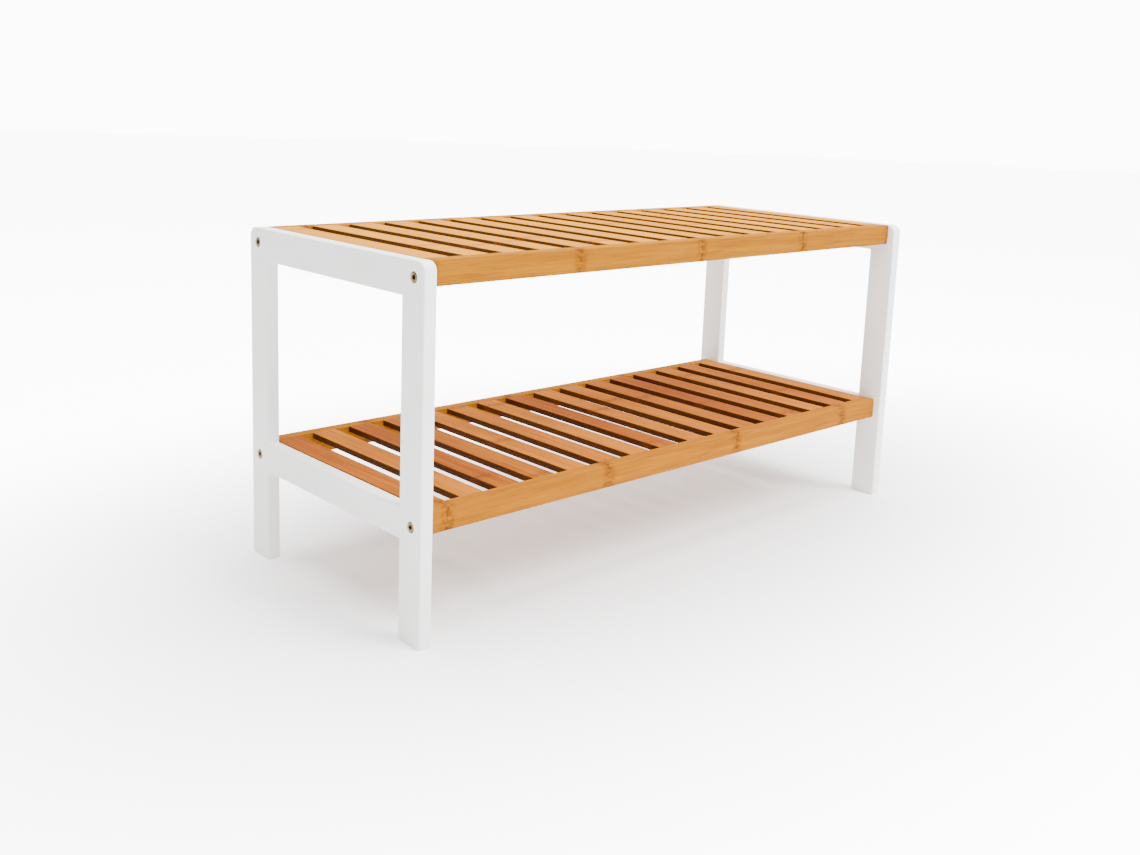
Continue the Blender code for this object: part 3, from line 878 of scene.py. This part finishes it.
class BenchColours(bpy.types.PropertyGroup):
    """Colours of the bench's finishes."""

    paint: swatch("Paint", "White of the side frames", "#FAFAF8")
    thin_paint: swatch("Thin Paint", "White where the paint went on thinner", "#F6F6F3")
    seat_rail_pale: swatch("Seat Rail Pale", "Pale bamboo of the seat's rails", "#A86C04")
    seat_rail_deep: swatch("Seat Rail Deep", "Deep bamboo of the seat's rails", "#804A01")
    shelf_rail_pale: swatch("Shelf Rail Pale", "Pale bamboo of the shelf's rails", "#AC6D04")
    shelf_rail_deep: swatch("Shelf Rail Deep", "Deep bamboo of the shelf's rails", "#844901")
    rail_vessel: swatch("Rail Fibre", "Dark fibres of all the rails", "#633301")
    seat_slat_pale: swatch("Seat Slat Pale", "Pale bamboo of the seat's slats", "#CC8A20")
    seat_slat_deep: swatch("Seat Slat Deep", "Deep bamboo of the seat's slats", "#AE6A10")
    seat_slat_vessel: swatch("Seat Slat Fibre", "Dark fibres of the seat's slats", "#884A0A")
    shelf_slat_pale: swatch("Shelf Slat Pale", "Pale bamboo of the shelf's slats", "#BC7418")
    shelf_slat_deep: swatch("Shelf Slat Deep", "Deep bamboo of the shelf's slats", "#88440A")
    shelf_slat_vessel: swatch("Shelf Slat Fibre", "Dark fibres of the shelf's slats", "#6A3406")
    # Painted shade: the colour of the slats' sides, which stand in the shaded gaps between the slats.
    painted_side_shade: swatch("Shaded Side", "Sides of the slats, shaded dark", "#2E1402")
    ring_line: swatch("Ring Line", "Line at each growth ring", "#5E2E08")
    speck: swatch("Speck", "Small dark specks in the bamboo", "#4A2A14")
    brass_dark: swatch("Brass Dark", "Blackened hollows of the bolts", "#4B3A26")
    brass_rubbed: swatch("Brass Rubbed", "Buffed brass of the bolts", "#A98C5F")
    zinc_dark: swatch("Zinc Dark", "Clouded zinc of the barrel nuts", "#AEB2B6")
    zinc_bright: swatch("Zinc Bright", "Clear zinc of the barrel nuts", "#C9CBCD")


class BenchStageSettings(bpy.types.PropertyGroup):
    """Floor and light around the bench."""

    floor_radius: length("Floor Radius", "Radius of the studio floor", 14.0)
    floor_colour: swatch("Floor", "Colour of the studio floor", "#FAFAFA")
    floor_shade: swatch("Floor Shade", "Colour of the floor's faint clouds", "#F8F8F8")
    floor_glow: strength("Floor Glow", "Brightness of the floor away from the bench", 9.0)
    surround: strength("Surround", "Light from the white surround", 1.25)
    backdrop: strength("Backdrop", "Brightness of the white surround where it shows", 12.0)
    key_power: power("Key Power", "Power of the key softbox", 235.0)
    top_power: power("Top Power", "Power of the top softbox", 200.0)


class BENCH_OT_side_frames(bpy.types.Operator):
    """Build the two painted side frames."""

    bl_idname = "bench.side_frames"
    bl_label = "Side Frames"

    def execute(self, context):
        for side_name, side in SIDES.items():
            build_side_frame(side_name, side, context.scene.bench, context.scene.bench_colours)
        return {"FINISHED"}


class BENCH_OT_long_rails(bpy.types.Operator):
    """Build the front and rear bamboo rails of both tiers."""

    bl_idname = "bench.long_rails"
    bl_label = "Long Rails"

    def execute(self, context):
        for tier in TIERS:
            build_long_rails(tier, context.scene.bench, context.scene.bench_colours)
        return {"FINISHED"}


class BENCH_OT_slats(bpy.types.Operator):
    """Build the bamboo slats of both tiers."""

    bl_idname = "bench.slats"
    bl_label = "Slats"

    def execute(self, context):
        for tier in TIERS:
            build_slats(tier, context.scene.bench, context.scene.bench_colours)
        return {"FINISHED"}


class BENCH_OT_fasteners(bpy.types.Operator):
    """Build the bolts and the barrel nuts."""

    bl_idname = "bench.fasteners"
    bl_label = "Fasteners"

    def execute(self, context):
        bench, colours = context.scene.bench, context.scene.bench_colours
        sixth_turn = math.pi / 3
        build_fasteners("bolt", bolt_form, antiqued_brass(colours), sixth_turn, bench)
        build_fasteners("barrel_nut", nut_form, bright_zinc(colours), 0.0, bench)
        return {"FINISHED"}


class BENCH_OT_stage(bpy.types.Operator):
    """Build the studio floor, the light and the camera."""

    bl_idname = "bench.stage"
    bl_label = "Stage"

    def execute(self, context):
        build_stage(context.scene.bench_stage)
        return {"FINISHED"}


class BENCH_PT_panel(bpy.types.Panel):
    """Bench settings and build buttons."""

    bl_idname = "BENCH_PT_panel"
    bl_label = "Slatted Bench"
    bl_space_type = "VIEW_3D"
    bl_region_type = "UI"
    bl_category = "Bench"

    def draw(self, context):
        for settings in (context.scene.bench, context.scene.bench_colours, context.scene.bench_stage):
            column = self.layout.column(align=True)
            for name in settings.__annotations__:
                column.prop(settings, name)
        for operator in OPERATORS:
            self.layout.operator(operator.bl_idname)


OPERATORS = (
    BENCH_OT_side_frames,
    BENCH_OT_long_rails,
    BENCH_OT_slats,
    BENCH_OT_fasteners,
    BENCH_OT_stage,
)
CLASSES = (BenchSettings, BenchColours, BenchStageSettings, *OPERATORS, BENCH_PT_panel)


def register():
    """Register every class and hang the settings on the scene."""
    for item in CLASSES:
        bpy.utils.register_class(item)
    bpy.types.Scene.bench = bpy.props.PointerProperty(type=BenchSettings)
    bpy.types.Scene.bench_colours = bpy.props.PointerProperty(type=BenchColours)
    bpy.types.Scene.bench_stage = bpy.props.PointerProperty(type=BenchStageSettings)


def unregister():
    """Undo register."""
    del bpy.types.Scene.bench_stage
    del bpy.types.Scene.bench_colours
    del bpy.types.Scene.bench
    for item in reversed(CLASSES):
        bpy.utils.unregister_class(item)


def main():
    """Build every piece on the frame."""
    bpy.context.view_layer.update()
    register()
    bpy.ops.bench.side_frames()
    bpy.ops.bench.long_rails()
    bpy.ops.bench.slats()
    bpy.ops.bench.fasteners()
    bpy.ops.bench.stage()


if __name__ == "__main__":
    main()
